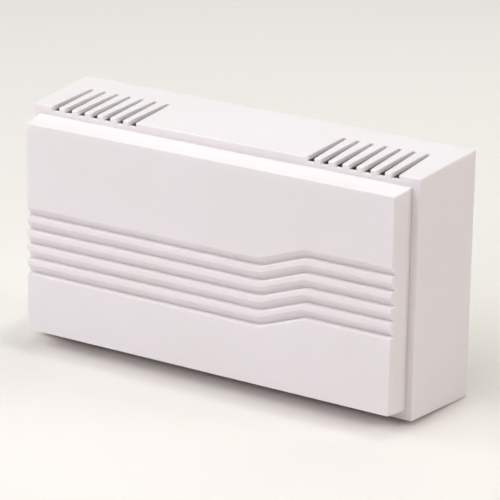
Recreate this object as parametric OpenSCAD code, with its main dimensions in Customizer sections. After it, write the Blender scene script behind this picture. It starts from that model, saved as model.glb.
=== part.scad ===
// Wired two-note door chime. A moulded cover pulls straight off a moulded base, and the base
// carries two solenoid strikers between two hanging tone bars.
// X runs to the right, Y into the wall and Z up, from the middle of the base's wall face.

/* [Cover] */
// Width of the body at its front edge
body_w = 198.4; // [190:0.2:230]
// Height of the body at its front edge
body_h = 108.6; // [104:0.2:130]
// Depth of the body, from its front edge to its rear rim
body_d = 44.2; // [42:0.2:60]
// Flare of each body wall, from the front edge to the rear rim
body_draft = 2.4; // [1:0.1:4]
// Height of the raised panel over the body's front edge
panel_rise = 12.6; // [9:0.1:20]
// Width of the ledge left and right of the panel
side_ledge = 3.6; // [2.6:0.1:6]
// Width of the ledge over and under the panel
top_ledge = 4.1; // [3.2:0.1:6]
// Slope of each panel wall, from its root to its face
panel_draft = 1.25; // [0.5:0.05:2]
// Thickness of the body and panel walls
wall = 2.2; // [1.8:0.1:2.8]
// Thickness of the panel's face
face_wall = 2.6; // [2.2:0.1:3.2]
// Radius on the edges round the front of the body and the panel
edge_r = 0.4; // [0.2:0.05:0.6]
// Radius of the corners between the walls
corner_r = 0.7; // [0.5:0.05:2]
// Gap between the rear rim and the house wall
rim_lift = 0.4; // [0.2:0.1:1]
// How far the seat ribs stand in from the walls
seat_reach = 3; // [2.5:0.1:4]
// Distance of the long walls' seat ribs from the middle
seat_x = 38; // [34:1:42]
// Thickness of the seat ribs
seat_t = 1.6; // [1.2:0.1:2.4]

/* [Sound slots] */
// Slots in each of the two groups
slot_count = 7; // [3:1:9]
// Spacing of the slots
slot_pitch = 6.9; // [6:0.1:7.6]
// Width of a slot at its open front end
slot_front_w = 4; // [2.5:0.1:4.6]
// Width of a slot at its closed rear end
slot_rear_w = 2.1; // [1.4:0.1:3]
// Length of a slot back from the front edge
slot_l = 28.9; // [15:0.1:34]
// Distance from the body's side to the middle of the outermost slot
slot_margin = 12; // [8:0.1:18]

/* [Front grooves] */
// Grooves across the panel
groove_count = 5; // [1:1:7]
// Spacing of the grooves
groove_pitch = 6.8; // [5.4:0.1:8]
// Height of a groove, from its ledge to its upper lip
groove_h = 4.3; // [3:0.1:5.2]
// Depth of a groove at its ledge
groove_depth = 3; // [1.5:0.05:3.4]
// Lean of a groove's face at its upper lip, in degrees
groove_lean = 48; // [10:1:50]
// Rounding of a groove's lower lip, where the ledge meets the panel
groove_lip_r = 0.6; // [0.2:0.05:1]
// How far the lowest ledge lies under the panel's middle, left of the jog
groove_drop = 21.9; // [15:0.1:28]
// Wall left behind the grooves at their deepest
groove_wall = 1.4; // [1:0.1:2]
// How far the band behind the grooves reaches past the outer ones
band_margin = 1.6; // [1:0.1:3]
// Rise of the grooves at the jog
jog_rise = 8.2; // [4:0.1:12]
// Where the jog begins, right of the middle
jog_start = 28.7; // [10:0.1:35]
// Where the jog ends, right of the middle
jog_end = 51.5; // [45:0.1:70]
// Radius of the lower bend
jog_low_r = 15; // [5:0.5:25]
// Radius of the upper bend
jog_high_r = 10; // [5:0.5:25]

/* [Base] */
// Thickness of the plate
plate_t = 2.6; // [2:0.1:3.2]
// Height of the rim from the wall face
rim_h = 8; // [6:0.1:10]
// Thickness of the rim
rim_t = 2; // [1.5:0.1:3]
// Gap between the rim and the cover
base_fit = 0.3; // [0.2:0.05:0.6]
// Gap between the grips on the rim and the cover
grip_fit = 0.1; // [0.05:0.05:0.15]
// Length of a grip
grip_l = 14; // [8:0.5:20]
// Distance of the long walls' grips from the middle
grip_x = 60; // [50:1:70]
// Distance of the short walls' grips from the middle
grip_z = 28; // [20:1:36]
// Distance between the wall screws along X
screw_span_x = 168; // [160:1:172]
// Distance between the wall screws along Z
screw_span_z = 84; // [76:1:88]
// Diameter of the wall-screw holes
wall_hole_d = 4.4; // [3.5:0.1:5.5]
// Diameter of the pads round the wall-screw holes
pad_d = 10; // [8:0.5:12]
// Height of those pads over the plate
pad_h = 1.5; // [0.5:0.1:3]
// Width of the wire entry
wire_w = 34; // [24:1:44]
// Height of the wire entry
wire_h = 11; // [8:0.5:12]
// Radius of its corners
wire_r = 3.8; // [2:0.1:3.9]
// Thickness of the lip round the wire entry
lip_t = 1.4; // [1:0.1:2]
// Height of that lip over the plate
lip_h = 1.8; // [0.8:0.1:3]
// Distance of the stiffening ribs from the middle
rib_x = 42; // [38:1:44]
// Height of those ribs over the plate
rib_h = 3; // [1:0.1:4]

/* [Tone bars] */
// Distance of the bars from the middle
bar_x = 62; // [56:0.5:68]
// Thickness of the bars
bar_t = 2.4; // [1.8:0.1:3]
// Depth of the bars, along Y
bar_w = 34; // [24:1:36]
// Gap between the longer bar's ends and the cover
bar_end_gap = 4; // [3:0.5:8]
// Interval between the two notes, in semitones
note_interval = 4; // [2:1:6]
// Radius of the bars' corners
bar_r = 3; // [1:0.5:5]
// Distance of the strikers' line, and the bars' middle, from the house wall
strike_depth = 24; // [23:0.5:27]

/* [Hangers] */
// Diameter of the hanger pins
pin_d = 4; // [3:0.1:4.6]
// Diameter of the pins' heads
pin_head_d = 8; // [6.5:0.1:9]
// Thickness of the pins' heads
pin_head_t = 1.5; // [1:0.1:2.5]
// Diameter of the hole in a bar
bar_hole_d = 7.6; // [7:0.1:8.4]
// Diameter of the grommets' flanges
grommet_d = 11; // [9.5:0.1:12]
// Thickness of the grommets' flanges
grommet_t = 2; // [1:0.1:2.5]
// Thickness of the hanger uprights
hanger_t = 4; // [3:0.1:5]
// Width of the hanger uprights
hanger_w = 12; // [10:0.5:14]
// Width of the snap mouth that a pin is pushed through
mouth_w = 3.7; // [2.6:0.1:3.9]
// Diameter of the pin clips
pin_clip_d = 9; // [7:0.1:10]
// Thickness of the pin clips
pin_clip_t = 0.6; // [0.4:0.1:1]
// How far the pins stand out of their clips
pin_end = 1.6; // [0.8:0.1:3]

/* [Solenoids] */
// Distance of the coils over and under the middle
coil_z = 14; // [12.5:0.5:15]
// Length of a bobbin
coil_l = 36; // [30:0.5:40]
// Side of the square bobbin flanges
flange_w = 20; // [19:0.5:22]
// Thickness of the bobbin flanges
flange_t = 1.6; // [1:0.1:2.4]
// Wall of the bobbin tube
tube_t = 1; // [0.6:0.1:1.5]
// Diameter of a winding
winding_d = 18; // [14:0.5:18.4]
// Width of the tape on a winding
tape_w = 24; // [10:0.5:26]
// Thickness of that tape
tape_t = 0.3; // [0.2:0.05:0.4]
// Width of the yoke straps
yoke_w = 12; // [11:0.5:13]
// Thickness of the yoke straps
yoke_t = 1.6; // [1:0.1:2]
// Inner radius of the yokes' bends
yoke_bend = 0.8; // [0.4:0.1:1.5]
// Length of a yoke foot
foot_l = 9; // [8:0.5:11]
// Height of the bosses under the feet, over the plate
foot_boss_h = 4; // [3.6:0.1:6]
// Diameter of the bosses
boss_d = 7; // [6:0.1:8]
// Diameter of the holes for the lead wires in the flanges
lead_hole_d = 2; // [1.8:0.1:2.4]
// Offset of those holes from the coil's line, both ways
lead_offset = 7.2; // [7:0.1:7.6]

/* [Plungers] */
// Diameter of a core
core_d = 6.8; // [6:0.1:7.2]
// Length of a core
core_l = 44; // [36:0.5:50]
// Running gap round a core in its bobbin
core_fit = 0.15; // [0.05:0.05:0.3]
// Gap round a core in its yoke
yoke_hole_fit = 0.4; // [0.3:0.05:0.6]
// Travel from rest to the high bar
stroke = 10; // [8:0.5:11]
// Travel of the front plunger back to the low bar
backswing = 3; // [2:0.5:5]
// Gap left between a striker and a bar at the end of its travel
strike_gap = 0.2; // [0.1:0.05:0.4]
// Diameter of the striker rods
rod_d = 5; // [4:0.1:6]
// Diameter of the spigots in the cores' ends
spigot_d = 3.2; // [2.4:0.1:3.6]
// Length of those spigots
spigot_l = 7; // [4:0.5:10]
// Length of the rear plunger's tail
tail_l = 6; // [4:0.5:7]
// Diameter of the button at the tail's end
button_d = 7; // [6:0.1:9]
// Diameter of the spring clips
clip_d = 11; // [10:0.1:12]
// Thickness of the spring clips
clip_t = 1; // [0.8:0.1:1.4]
// Depth of the clips' grooves in the cores
clip_groove = 0.8; // [0.5:0.1:1]
// How far the cores stand out of their clips
core_nose = 2; // [1:0.1:3]

/* [Springs] */
// Diameter of the spring wire
spring_wire = 0.6; // [0.4:0.05:0.8]
// Diameter of the springs at the middle of the wire
spring_d = 8.8; // [8.6:0.1:9.4]
// Length of the springs at rest
spring_l = 17.5; // [15:0.5:19]
// Curls in a spring
spring_turns = 9; // [6:1:11]

/* [Return stop] */
// Diameter of the felt
felt_d = 11; // [9:0.5:13]
// Thickness of the felt
felt_t = 3; // [2:0.1:3.5]
// Thickness of the post behind the felt
post_t = 3.5; // [2.5:0.1:4]
// Width of that post
post_w = 13; // [11:0.5:14]

/* [Terminals] */
// Width of the block between its ears
block_w = 41; // [40:0.5:44]
// Height of the block
block_h = 11; // [10:0.5:12]
// Depth of the block in front of the plate
block_d = 10.4; // [9:0.1:12]
// Gap between the block and the base's rim
block_gap = 0.8; // [0.4:0.1:1.5]
// Length of an ear
ear_l = 8.5; // [8:0.1:9]
// Thickness of an ear
ear_t = 3; // [2:0.1:4]
// Height of the bosses under the ears, over the plate
ear_boss_h = 5; // [4:0.1:5.4]
// Spacing of the three terminals
terminal_pitch = 13; // [12:0.1:13]
// Thickness of the barriers beside the terminals
barrier_t = 1.5; // [1:0.1:2]
// Height of those barriers
barrier_h = 4; // [2:0.1:6]
// Side of a terminal plate
terminal_w = 9; // [8:0.1:9.6]
// Thickness of a terminal plate
terminal_t = 0.8; // [0.5:0.1:1.2]
// Width of a terminal's solder tail
tail_w = 6; // [5:0.1:7]
// How far that tail stands over the block
tail_h = 3.5; // [2.5:0.1:4]
// Side of a wire clamp
clamp_w = 7.6; // [7:0.1:8.4]
// Thickness of a wire clamp
clamp_t = 1; // [0.6:0.1:1.4]
// Diameter of the terminal screws
terminal_screw_d = 3.4; // [3:0.1:3.8]
// Diameter of the terminal screws' heads
terminal_head_d = 6.6; // [6:0.1:7]
// Height of those heads
terminal_head_h = 2.2; // [1.6:0.1:3]
// Length of the terminal screws under the head
terminal_screw_l = 8.8; // [7.5:0.1:9.5]

/* [Fasteners and fits] */
// Diameter of the chassis screws
screw_d = 2.9; // [2.5:0.1:3.2]
// Length of the chassis screws under the head
screw_l = 6; // [5:0.5:6.5]
// Diameter of the chassis screws' heads
screw_head_d = 5.6; // [5:0.1:6]
// Height of those heads
screw_head_h = 2; // [1.5:0.1:2.5]
// Width of the drive slots
drive_w = 0.9; // [0.6:0.1:1.2]
// Depth of the drive slots
drive_depth = 1; // [0.6:0.1:1.2]
// Gap round what is pushed or screwed into a hole
push_fit = 0.05; // [0.03:0.01:0.1]
// Gap between pieces that seat on each other
seat_fit = 0.2; // [0.1:0.05:0.3]

/* [Hidden] */
$fn = 48;
edge_steps = 5;
past = 1;
sides = [-1, 1];
corners = [[1, 1, 0], [-1, 1, 90], [-1, -1, 180], [1, -1, 270]];

// Depths of the cover, from the wall face forwards
rim_y = -rim_lift;
ledge_y = rim_y - body_d;
face_y = ledge_y - panel_rise;
flare = body_draft / body_d;
panel_slope = panel_draft / panel_rise;
panel_root = [body_w / 2 - side_ledge, body_h / 2 - top_ledge];

// Half width and half height of the cover's drafted forms at a depth y
function square_on(d) = [d, d];
function body_half(y) = [body_w, body_h] / 2 + square_on(flare * (y - ledge_y));
function cavity_half(y) = body_half(y) - square_on(wall);
function tray_half(y, fit) = cavity_half(y) - square_on(fit);
function panel_half(y) = panel_root + square_on(panel_slope * (y - ledge_y));

// Sound slots: width at a depth y, and floor level, where the top wall is cut right through
slot_taper = (slot_front_w - slot_rear_w) / slot_l;
slot_floor = body_h / 2 - wall;
function slot_width(y) = slot_front_w - slot_taper * (y - ledge_y);

// Front grooves: a path of two flat runs joined by a jog with rounded bends
groove_reach = panel_root.x + past;
groove_steps = 4;
lip_reach = min(groove_h * tan(groove_lean), 2 * groove_depth);
bend_steps = 6;
jog_angle = atan(jog_rise / (jog_end - jog_start));
low_bend_x = jog_start - jog_low_r * tan(jog_angle / 2);
high_bend_x = jog_end + jog_high_r * tan(jog_angle / 2);
groove_path = concat(
    [[-groove_reach, 0]],
    [for (i = [0:bend_steps]) let (a = jog_angle * i / bend_steps)
        [low_bend_x + jog_low_r * sin(a), jog_low_r * (1 - cos(a))]],
    [for (i = [bend_steps:-1:0]) let (a = jog_angle * i / bend_steps)
        [high_bend_x - jog_high_r * sin(a), jog_rise - jog_high_r * (1 - cos(a))]],
    [[groove_reach, jog_rise]]);
// A flat ledge with a rounded lip below, and a scooped face that leans out more and more
// towards the upper lip
groove_section = concat(
    [[-past, -groove_lip_r]],
    [for (i = [0:groove_steps]) let (a = 90 * i / groove_steps)
        groove_lip_r * [1 - cos(a), sin(a) - 1]],
    [for (i = [groove_steps:-1:0]) let (t = i / groove_steps)
        [lip_reach * t + (groove_depth - lip_reach) * t * t, groove_h * (1 - t)]],
    [[-past, groove_h]]);
// A band behind the grooves, which keeps a wall there: flat, with edges at 45 degrees
band_t = groove_depth + groove_wall;
band_low = -groove_drop - band_margin;
band_high = (groove_count - 1) * groove_pitch + groove_h - groove_drop + band_margin;
band_section = [[0, band_low - band_t], [band_t, band_low], [band_t, band_high], [0, band_high + band_t]];

// Tone bars: a free bar is still at a fixed share of its length from each end
node_share = 0.2242;
long_bar_l = body_h - 2 * (wall + bar_end_gap);
short_bar_l = long_bar_l / sqrt(pow(2, note_interval / 12));
bar_in_x = bar_x - bar_t / 2;
bar_out_x = bar_x + bar_t / 2;
function bar_l(side) = side < 0 ? long_bar_l : short_bar_l;
function hang_z(side, end) = end * (0.5 - node_share) * bar_l(side);

// Hangers, outwards from a bar
hang_in_x = bar_out_x + grommet_t + seat_fit;
hang_out_x = hang_in_x + hanger_t;
head_x = bar_in_x - grommet_t - push_fit;
pin_clip_x = hang_out_x + push_fit;
pin_chamfer = 0.5;
hanger_chamfer = 3;
gusset_l = 8;
gusset_h = 12;
gusset_t = 2;

// Solenoids, from the coil outwards
plate_y = -plate_t;
line_y = -strike_depth;
bore_d = core_d + 2 * core_fit;
tube_d = bore_d + 2 * tube_t;
arm_in_x = coil_l / 2 + seat_fit;
arm_out_x = arm_in_x + yoke_t;
arm_x = arm_in_x + yoke_t / 2;
web_y = line_y - flange_w / 2 - seat_fit - yoke_t / 2;
foot_seat_y = plate_y - foot_boss_h;
foot_y = foot_seat_y - yoke_t / 2;
foot_front_y = foot_seat_y - yoke_t;
foot_end_x = arm_x + foot_l;
foot_screw_x = (arm_out_x + yoke_bend + foot_end_x) / 2;
cradle_t = 3;
cradle_w = flange_w - 2 * flange_t;
cradle_y = line_y + flange_w / 2 + seat_fit;

// Plungers, along X
clip_x = -arm_out_x - spring_l - clip_t;
core_x0 = clip_x - core_nose;
core_x1 = core_x0 + core_l;
low_tip_x = -bar_in_x + backswing + strike_gap;
high_tip_x = bar_in_x - stroke - strike_gap;
tail_x = core_x0 - tail_l;
felt_x = tail_x - seat_fit;
post_x = felt_x - felt_t;
post_out_x = post_x - post_t;
post_gusset_l = 4;
dome_steps = 6;
core_chamfer = 0.4;
button_t = 1.8;

// Terminal block, on the base's lower rim
block_z = block_gap + block_h / 2 - tray_half(plate_y, base_fit + rim_t).y;
block_y = plate_y - block_d;
ear_x = block_w / 2 + ear_l / 2;
ear_seat_y = plate_y - ear_boss_h;
ear_front_y = ear_seat_y - ear_t;
terminal_y = block_y - terminal_t;
clamp_y = terminal_y - push_fit - clamp_t;
wire_z = (block_z + block_h / 2 - coil_z - flange_w / 2) / 2;

// Screws in the base: the point under each head, and the room left under its tip
foot_screws = [for (s = sides) for (z = [coil_z, -coil_z]) [s * foot_screw_x, foot_front_y, z]];
ear_screws = [for (s = sides) [s * ear_x, ear_front_y, block_z]];
screw_spare = 0.6;
head_taper = 0.8;

// Springs: points along the wire, and the least gap between its curls
spring_rings = 8;
spring_sides = 6;
spring_end = spring_wire / 2 + 2 * push_fit;
spring_pitch = (spring_l - 2 * spring_end) / spring_turns;
spring_r = spring_d / 2;
function spring_angle(i) = 360 * i / spring_rings;
function round_x(r, a) = [0, r * cos(a), r * sin(a)];
function spring_point(a) = round_x(spring_r, a) - [arm_out_x + spring_end + spring_pitch * a / 360, 0, 0];
function spring_heading(a) = unit(round_x(2 * PI * spring_r, a + 90) - [spring_pitch, 0, 0]);
spring_line = [for (i = [0:spring_turns * spring_rings]) spring_point(spring_angle(i))];
spring_last = len(spring_line) - 1;
spring_gap = min([for (i = [0:spring_last]) for (j = [i + spring_rings / 2 + 1:1:spring_last])
    norm(spring_line[i] - spring_line[j])]) - spring_wire;
echo(str("least gap between the curls of a spring: ", spring_gap, " mm"));

// Lead wires: routes from the flange holes to the terminals' tails
lead_d = 1.4;
lead_sides = 8;
lead_steps = 3;
lead_in = 3;
lead_split = 1.5;
lead_y = line_y + lead_offset;
solder_y = terminal_y - lead_d / 2 - 2 * push_fit;
solder_z = block_z + block_h / 2 + tail_h / 2;
front_hole_z = coil_z - lead_offset;
rear_hole_z = -coil_z - lead_offset;
function hole_run(side, z) = [for (x = [-lead_in, past]) [side * (coil_l / 2 + x), lead_y, z]];
function solder_point(x) = [[x, solder_y, solder_z]];
front_low_route = concat(hole_run(-1, front_hole_z),
    [[-24, -16, 2], [-25, -15, -10], [-24, -15, -24], [-19, -15, -33]], solder_point(-terminal_pitch));
front_common_route = concat(hole_run(1, front_hole_z),
    [[24, -16, 2], [25, -15, -10], [24, -15, -24], [19, -15, -33]],
    solder_point(terminal_pitch + lead_split));
rear_low_route = concat(hole_run(-1, rear_hole_z),
    [[-20, -16, -25], [-13, -15, -32], [-3, -15, -36]], solder_point(0));
rear_common_route = concat(hole_run(1, rear_hole_z),
    [[20, -16, -25], [16, -15, -31], [12.5, -15, -36]], solder_point(terminal_pitch - lead_split));

// Small helpers for points and paths
function unit(v) = v / norm(v);
function left_of(d) = [-d.y, d.x];
function turned_by(v, a) = [v.x * cos(a) - v.y * sin(a), v.x * sin(a) + v.y * cos(a)];
function joined(lists) = [for (list = lists) each list];
function rounded_rect(w, h, r, steps = 5) = [
    for (c = corners) for (i = [0:steps]) let (a = c[2] + 90 * i / steps)
        [c.x * (w / 2 - r) + r * cos(a), c.y * (h / 2 - r) + r * sin(a)]];
function dome(r, x, way) = [for (i = [0:dome_steps]) let (a = 90 * i / dome_steps)
    [r * cos(a), x + way * r * (sin(a) - 1)]];
function ring(p, heading, up, r, n) = let (right = cross(heading, up))
    [for (i = [0:n - 1]) let (a = 360 * i / n) p + r * (up * cos(a) + right * sin(a))];
function spline(p, steps) = concat(
    [for (i = [0:len(p) - 2]) for (k = [0:steps - 1])
        let (a = p[max(i - 1, 0)], b = p[i], c = p[i + 1], d = p[min(i + 2, len(p) - 1)], t = k / steps)
        (2 * b + (c - a) * t + (2 * a - 5 * b + 4 * c - d) * t * t
            + (3 * b - a - 3 * c + d) * t * t * t) / 2],
    [p[len(p) - 1]]);

// A bent strip: places and headings along its middle line, with an arc at each corner
function strip_corner(a, b, c, r, steps) = let (
        u = unit(b - a), v = unit(c - b), turn = atan2(u.x * v.y - u.y * v.x, u * v),
        start = b - u * r * tan(abs(turn) / 2), centre = start + left_of(u) * r * sign(turn))
    [for (i = [0:steps]) let (k = turn * i / steps) [centre + turned_by(start - centre, k), turned_by(u, k)]];
function strip_path(p, r, steps = 4) = let (last = len(p) - 1) concat(
    [[p[0], unit(p[1] - p[0])]],
    [for (i = [1:last - 1]) each strip_corner(p[i - 1], p[i], p[i + 1], r, steps)],
    [[p[last], unit(p[last] - p[last - 1])]]);
function strip_outline(path, t) = concat(
    [for (q = path) q[0] + left_of(q[1]) * t / 2],
    [for (i = [len(path) - 1:-1:0]) path[i][0] - left_of(path[i][1]) * t / 2]);

// Shapes that several pieces use
module along_x(x0, x1) translate([x0, 0, 0]) rotate([90, 0, 90]) linear_extrude(x1 - x0) children();
module along_y(y0, y1) translate([0, y1, 0]) rotate([90, 0, 0]) linear_extrude(y1 - y0) children();
module rod_x(d, x0, x1) translate([x0, 0, 0]) rotate([0, 90, 0]) cylinder(d = d, h = x1 - x0);
module rod_y(d, y0, y1) translate([0, y0, 0]) rotate([-90, 0, 0]) cylinder(d = d, h = y1 - y0);
module turned_x(profile) rotate([0, 90, 0]) rotate_extrude() polygon(profile);
module block(low, high) translate(low) cube(high - low);

// A block with four drafted sides, from its half sizes at two depths
module drafted_block(y0, half0, y1, half1) {
    ends = [[y0, half0], [y1, half1]];
    ways = [[-1, -1], [1, -1], [1, 1], [-1, 1]];
    polyhedron(
        points = [for (e = ends) for (c = ways) [c.x * e[1].x, e[0], c.y * e[1].y]],
        faces = [[4, 7, 6, 5], [1, 2, 3, 0], [5, 6, 2, 1], [0, 3, 7, 4], [7, 3, 2, 6], [5, 1, 0, 4]]);
}

// A closed skin over rings of points
module loft(rings) {
    m = len(rings[0]);
    last = len(rings) - 1;
    polyhedron(points = joined(rings), faces = concat(
        [for (j = [1:m - 2]) [0, j, j + 1]],
        [for (i = [0:last - 1]) for (j = [0:m - 1]) let (a = i * m, k = (j + 1) % m)
            each [[a + k, a + j, a + m + j], [a + k, a + m + j, a + m + k]]],
        [for (j = [1:m - 2]) [last * m, last * m + j + 1, last * m + j]]));
}

// The drafted block again, with rounded corners and front edges: rings from its rear to its front
module rounded_block(y0, half0, y1, half1) {
    slope = (half0.x - half1.x) / (y0 - y1);
    lean = atan(slope);
    bend = half1 + square_on(slope * edge_r);
    ring_list = concat([[y0, half0, corner_r]],
        [for (i = [0:edge_steps])
            let (a = lean + (90 - lean) * i / edge_steps, inset = edge_r / cos(lean) - edge_r * cos(a))
            [y1 + edge_r - edge_r * sin(a), bend - square_on(inset), corner_r - inset]]);
    loft([for (k = ring_list)
        [for (q = rounded_rect(2 * k[1].x, 2 * k[1].y, k[2], edge_steps)) [q.x, k[0], q.y]]]);
}

// A round wire along a route
module wire(route, d, n) {
    line = spline(route, lead_steps);
    last = len(line) - 1;
    loft([for (i = [0:last])
        let (heading = unit(line[min(i + 1, last)] - line[max(i - 1, 0)]), level = [0, 1, 0],
            up = unit(level - heading * (heading * level)))
        ring(line[i], heading, up, d / 2, n)]);
}

// Places that repeat
module on_line(z) translate([0, line_y, z]) children();
module at_hangers(side) for (end = sides) on_line(hang_z(side, end)) children();
module at_wall_screws() for (s = sides) for (e = sides)
    translate([s * screw_span_x / 2, 0, e * screw_span_z / 2]) children();
module at_terminals() for (i = [-1:1]) translate([i * terminal_pitch, 0, block_z]) children();
module mirrored_to(side) mirror([side < 0 ? 1 : 0, 0, 0]) children();

// Cover
module cover_cavity() {
    drafted_block(past, cavity_half(past), ledge_y + wall, cavity_half(ledge_y + wall));
    drafted_block(ledge_y + wall + past, panel_half(ledge_y + wall + past) - square_on(wall),
        face_y + face_wall, panel_half(face_y + face_wall) - square_on(wall));
}

// Ribs left standing inside the cover, which stop it on the base's rim
module seat_ribs() {
    inner = cavity_half(ledge_y) - square_on(seat_reach);
    outer = body_half(0);
    rear_y = -rim_h - seat_fit;
    for (s = sides) {
        for (e = [0, 1]) mirror([0, 0, e]) translate([s * seat_x, 0, 0])
            block([-seat_t / 2, ledge_y, inner.y], [seat_t / 2, rear_y, outer.y]);
        mirrored_to(s) block([inner.x, ledge_y, -seat_t / 2], [outer.x, rear_y, seat_t / 2]);
    }
}

module sound_slots() {
    front = ledge_y - past;
    rear = ledge_y + slot_l;
    for (s = sides) for (i = [0:slot_count - 1])
        translate([s * (body_w / 2 - slot_margin - i * slot_pitch), 0, slot_floor])
            linear_extrude(wall + body_draft + past)
                polygon([for (q = [[-1, front], [1, front], [1, rear], [-1, rear]])
                    [q[0] * slot_width(q[1]) / 2, q[1]]]);
}

// A section of depths behind the face and heights, drawn along the grooves' path
module along_grooves(section)
    loft([for (s = groove_path) [for (q = section) [s.x, face_y + q.x, s.y + q.y]]]);

module front_grooves()
    for (i = [0:groove_count - 1])
        translate([0, 0, i * groove_pitch - groove_drop]) along_grooves(groove_section);

module cover() color("#f4f2f1")
    difference() {
        union() {
            rounded_block(rim_y, body_half(rim_y), ledge_y, body_half(ledge_y));
            rounded_block(ledge_y + wall / 2, panel_half(ledge_y + wall / 2), face_y, panel_half(face_y));
        }
        difference() {
            cover_cavity();
            seat_ribs();
            along_grooves(band_section);
        }
        sound_slots();
        front_grooves();
    }

// Base
module tray() {
    pocket_fit = base_fit + rim_t;
    pocket_y = -rim_h - past;
    difference() {
        union() {
            drafted_block(0, tray_half(0, base_fit), -rim_h, tray_half(-rim_h, base_fit));
            intersection() {
                drafted_block(0, tray_half(0, grip_fit), -rim_h, tray_half(-rim_h, grip_fit));
                grip_bars();
            }
        }
        drafted_block(plate_y, tray_half(plate_y, pocket_fit), pocket_y, tray_half(pocket_y, pocket_fit));
    }
}

// Bars across the tray that leave a grip standing on the rim at each end
module grip_bars() {
    far = body_half(0);
    for (s = sides) {
        block([s * grip_x - grip_l / 2, -rim_h, -far.y], [s * grip_x + grip_l / 2, 0, far.y]);
        block([-far.x, -rim_h, s * grip_z - grip_l / 2], [far.x, 0, s * grip_z + grip_l / 2]);
    }
}

module wire_outline(grow) polygon(rounded_rect(wire_w + 2 * grow, wire_h + 2 * grow, wire_r + grow));

// An upright that a hanger pin is pushed into from the front
module hanger() {
    rear = plate_y + plate_t / 2 - line_y;
    front = -hanger_w / 2;
    w = hanger_w / 2;
    c = hanger_chamfer;
    along_x(hang_in_x, hang_out_x)
        difference() {
            polygon([[rear, -w], [rear, w], [front + c, w], [front, w - c], [front, c - w], [front + c, -w]]);
            circle(d = pin_d + 2 * push_fit);
            polygon([[0, mouth_w / 2], [front + c, mouth_w / 2], [front - past, c], [front - past, -c],
                [front + c, -mouth_w / 2], [0, -mouth_w / 2]]);
        }
    translate([hang_out_x, rear, 0]) gusset(gusset_l, gusset_h + plate_t / 2);
}

// A triangular web that stands on the plate against the outer side of an upright
module gusset(l, h) translate([0, 0, -gusset_t / 2]) linear_extrude(gusset_t)
    polygon([[-past, 0], [l, 0], [0, -h], [-past, -h]]);

module return_post() {
    rear = plate_y + plate_t / 2;
    on_line(-coil_z) block([post_out_x, -post_w / 2, -post_w / 2], [post_x, rear - line_y, post_w / 2]);
    translate([post_out_x, rear, -coil_z]) mirror([1, 0, 0]) gusset(post_gusset_l, gusset_h);
}

module base_plate() color("#e6e3db")
    difference() {
        union() {
            tray();
            at_wall_screws() rod_y(pad_d, plate_y - pad_h, plate_y / 2);
            for (s = sides) {
                mirrored_to(s) at_hangers(s) hanger();
                for (z = [coil_z, -coil_z]) {
                    mirrored_to(s) block([coil_l / 2 - cradle_t, cradle_y, z - cradle_w / 2],
                        [coil_l / 2, plate_y / 2, z + cradle_w / 2]);
                    translate([s * foot_screw_x, 0, z]) rod_y(boss_d, foot_seat_y, plate_y / 2);
                }
                translate([s * ear_x, 0, block_z]) rod_y(boss_d, ear_seat_y, plate_y / 2);
                stiff_rib(s * rib_x);
            }
            return_post();
            translate([0, 0, wire_z]) along_y(plate_y - lip_h, plate_y / 2) wire_outline(lip_t);
        }
        at_wall_screws() rod_y(wall_hole_d, plate_y - pad_h - past, past);
        translate([0, 0, wire_z]) along_y(plate_y - lip_h - past, past) wire_outline(0);
        for (p = concat(foot_screws, ear_screws))
            translate([p.x, 0, p.z]) rod_y(screw_d + 2 * push_fit, p.y, p.y + screw_l + screw_spare);
    }

// A rib across the plate, from rim to rim
module stiff_rib(x) {
    half = tray_half(-rim_h, base_fit).y - rim_t / 2;
    block([x - gusset_t / 2, plate_y - rib_h, -half], [x + gusset_t / 2, plate_y / 2, half]);
}

// Tone bars and what they hang on
module tone_bar(side) color("#c9ccd0")
    difference() {
        on_line(0) along_x(side * bar_x - bar_t / 2, side * bar_x + bar_t / 2)
            polygon(rounded_rect(bar_w, bar_l(side), bar_r));
        at_hangers(side) rod_x(bar_hole_d, side * bar_x - bar_t, side * bar_x + bar_t);
    }

module grommets(side) color("#2b2b2c") {
    neck = bar_t / 2 + push_fit;
    far = neck + grommet_t;
    bore = pin_d / 2 + push_fit;
    neck_r = bar_hole_d / 2 - push_fit;
    at_hangers(side) translate([side * bar_x, 0, 0])
        turned_x([[bore, -far], [grommet_d / 2, -far], [grommet_d / 2, -neck], [neck_r, -neck],
            [neck_r, neck], [grommet_d / 2, neck], [grommet_d / 2, far], [bore, far]]);
}

module hanger_pins() color("#d9dadb") {
    end_x = pin_clip_x + pin_clip_t + pin_end;
    under_x = head_x - push_fit;
    r = pin_d / 2;
    for (s = sides) mirrored_to(s) at_hangers(s)
        turned_x([[0, head_x - pin_head_t], [pin_head_d / 2, head_x - pin_head_t], [pin_head_d / 2, under_x],
            [r, under_x], [r, end_x - pin_chamfer], [r - pin_chamfer, end_x], [0, end_x]]);
}

module pin_clips() color("#8d9196")
    for (s = sides) mirrored_to(s) at_hangers(s)
        difference() {
            rod_x(pin_clip_d, pin_clip_x, pin_clip_x + pin_clip_t);
            rod_x(pin_d + 2 * push_fit, pin_clip_x - past, pin_clip_x + pin_clip_t + past);
        }

// Solenoids
module bobbin(z) color("#efeee6")
    on_line(z) difference() {
        union() {
            rod_x(tube_d, -coil_l / 2, coil_l / 2);
            for (x = [-coil_l / 2, coil_l / 2 - flange_t])
                along_x(x, x + flange_t) polygon(rounded_rect(flange_w, flange_w, flange_t));
        }
        rod_x(bore_d, -coil_l / 2 - past, coil_l / 2 + past);
        translate([0, lead_offset, -lead_offset]) rod_x(lead_hole_d, -coil_l / 2 - past, coil_l / 2 + past);
    }

module sleeve(z, outer_d, inner_d, half_l)
    on_line(z) difference() {
        rod_x(outer_d, -half_l, half_l);
        rod_x(inner_d, -half_l - past, half_l + past);
    }

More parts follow.
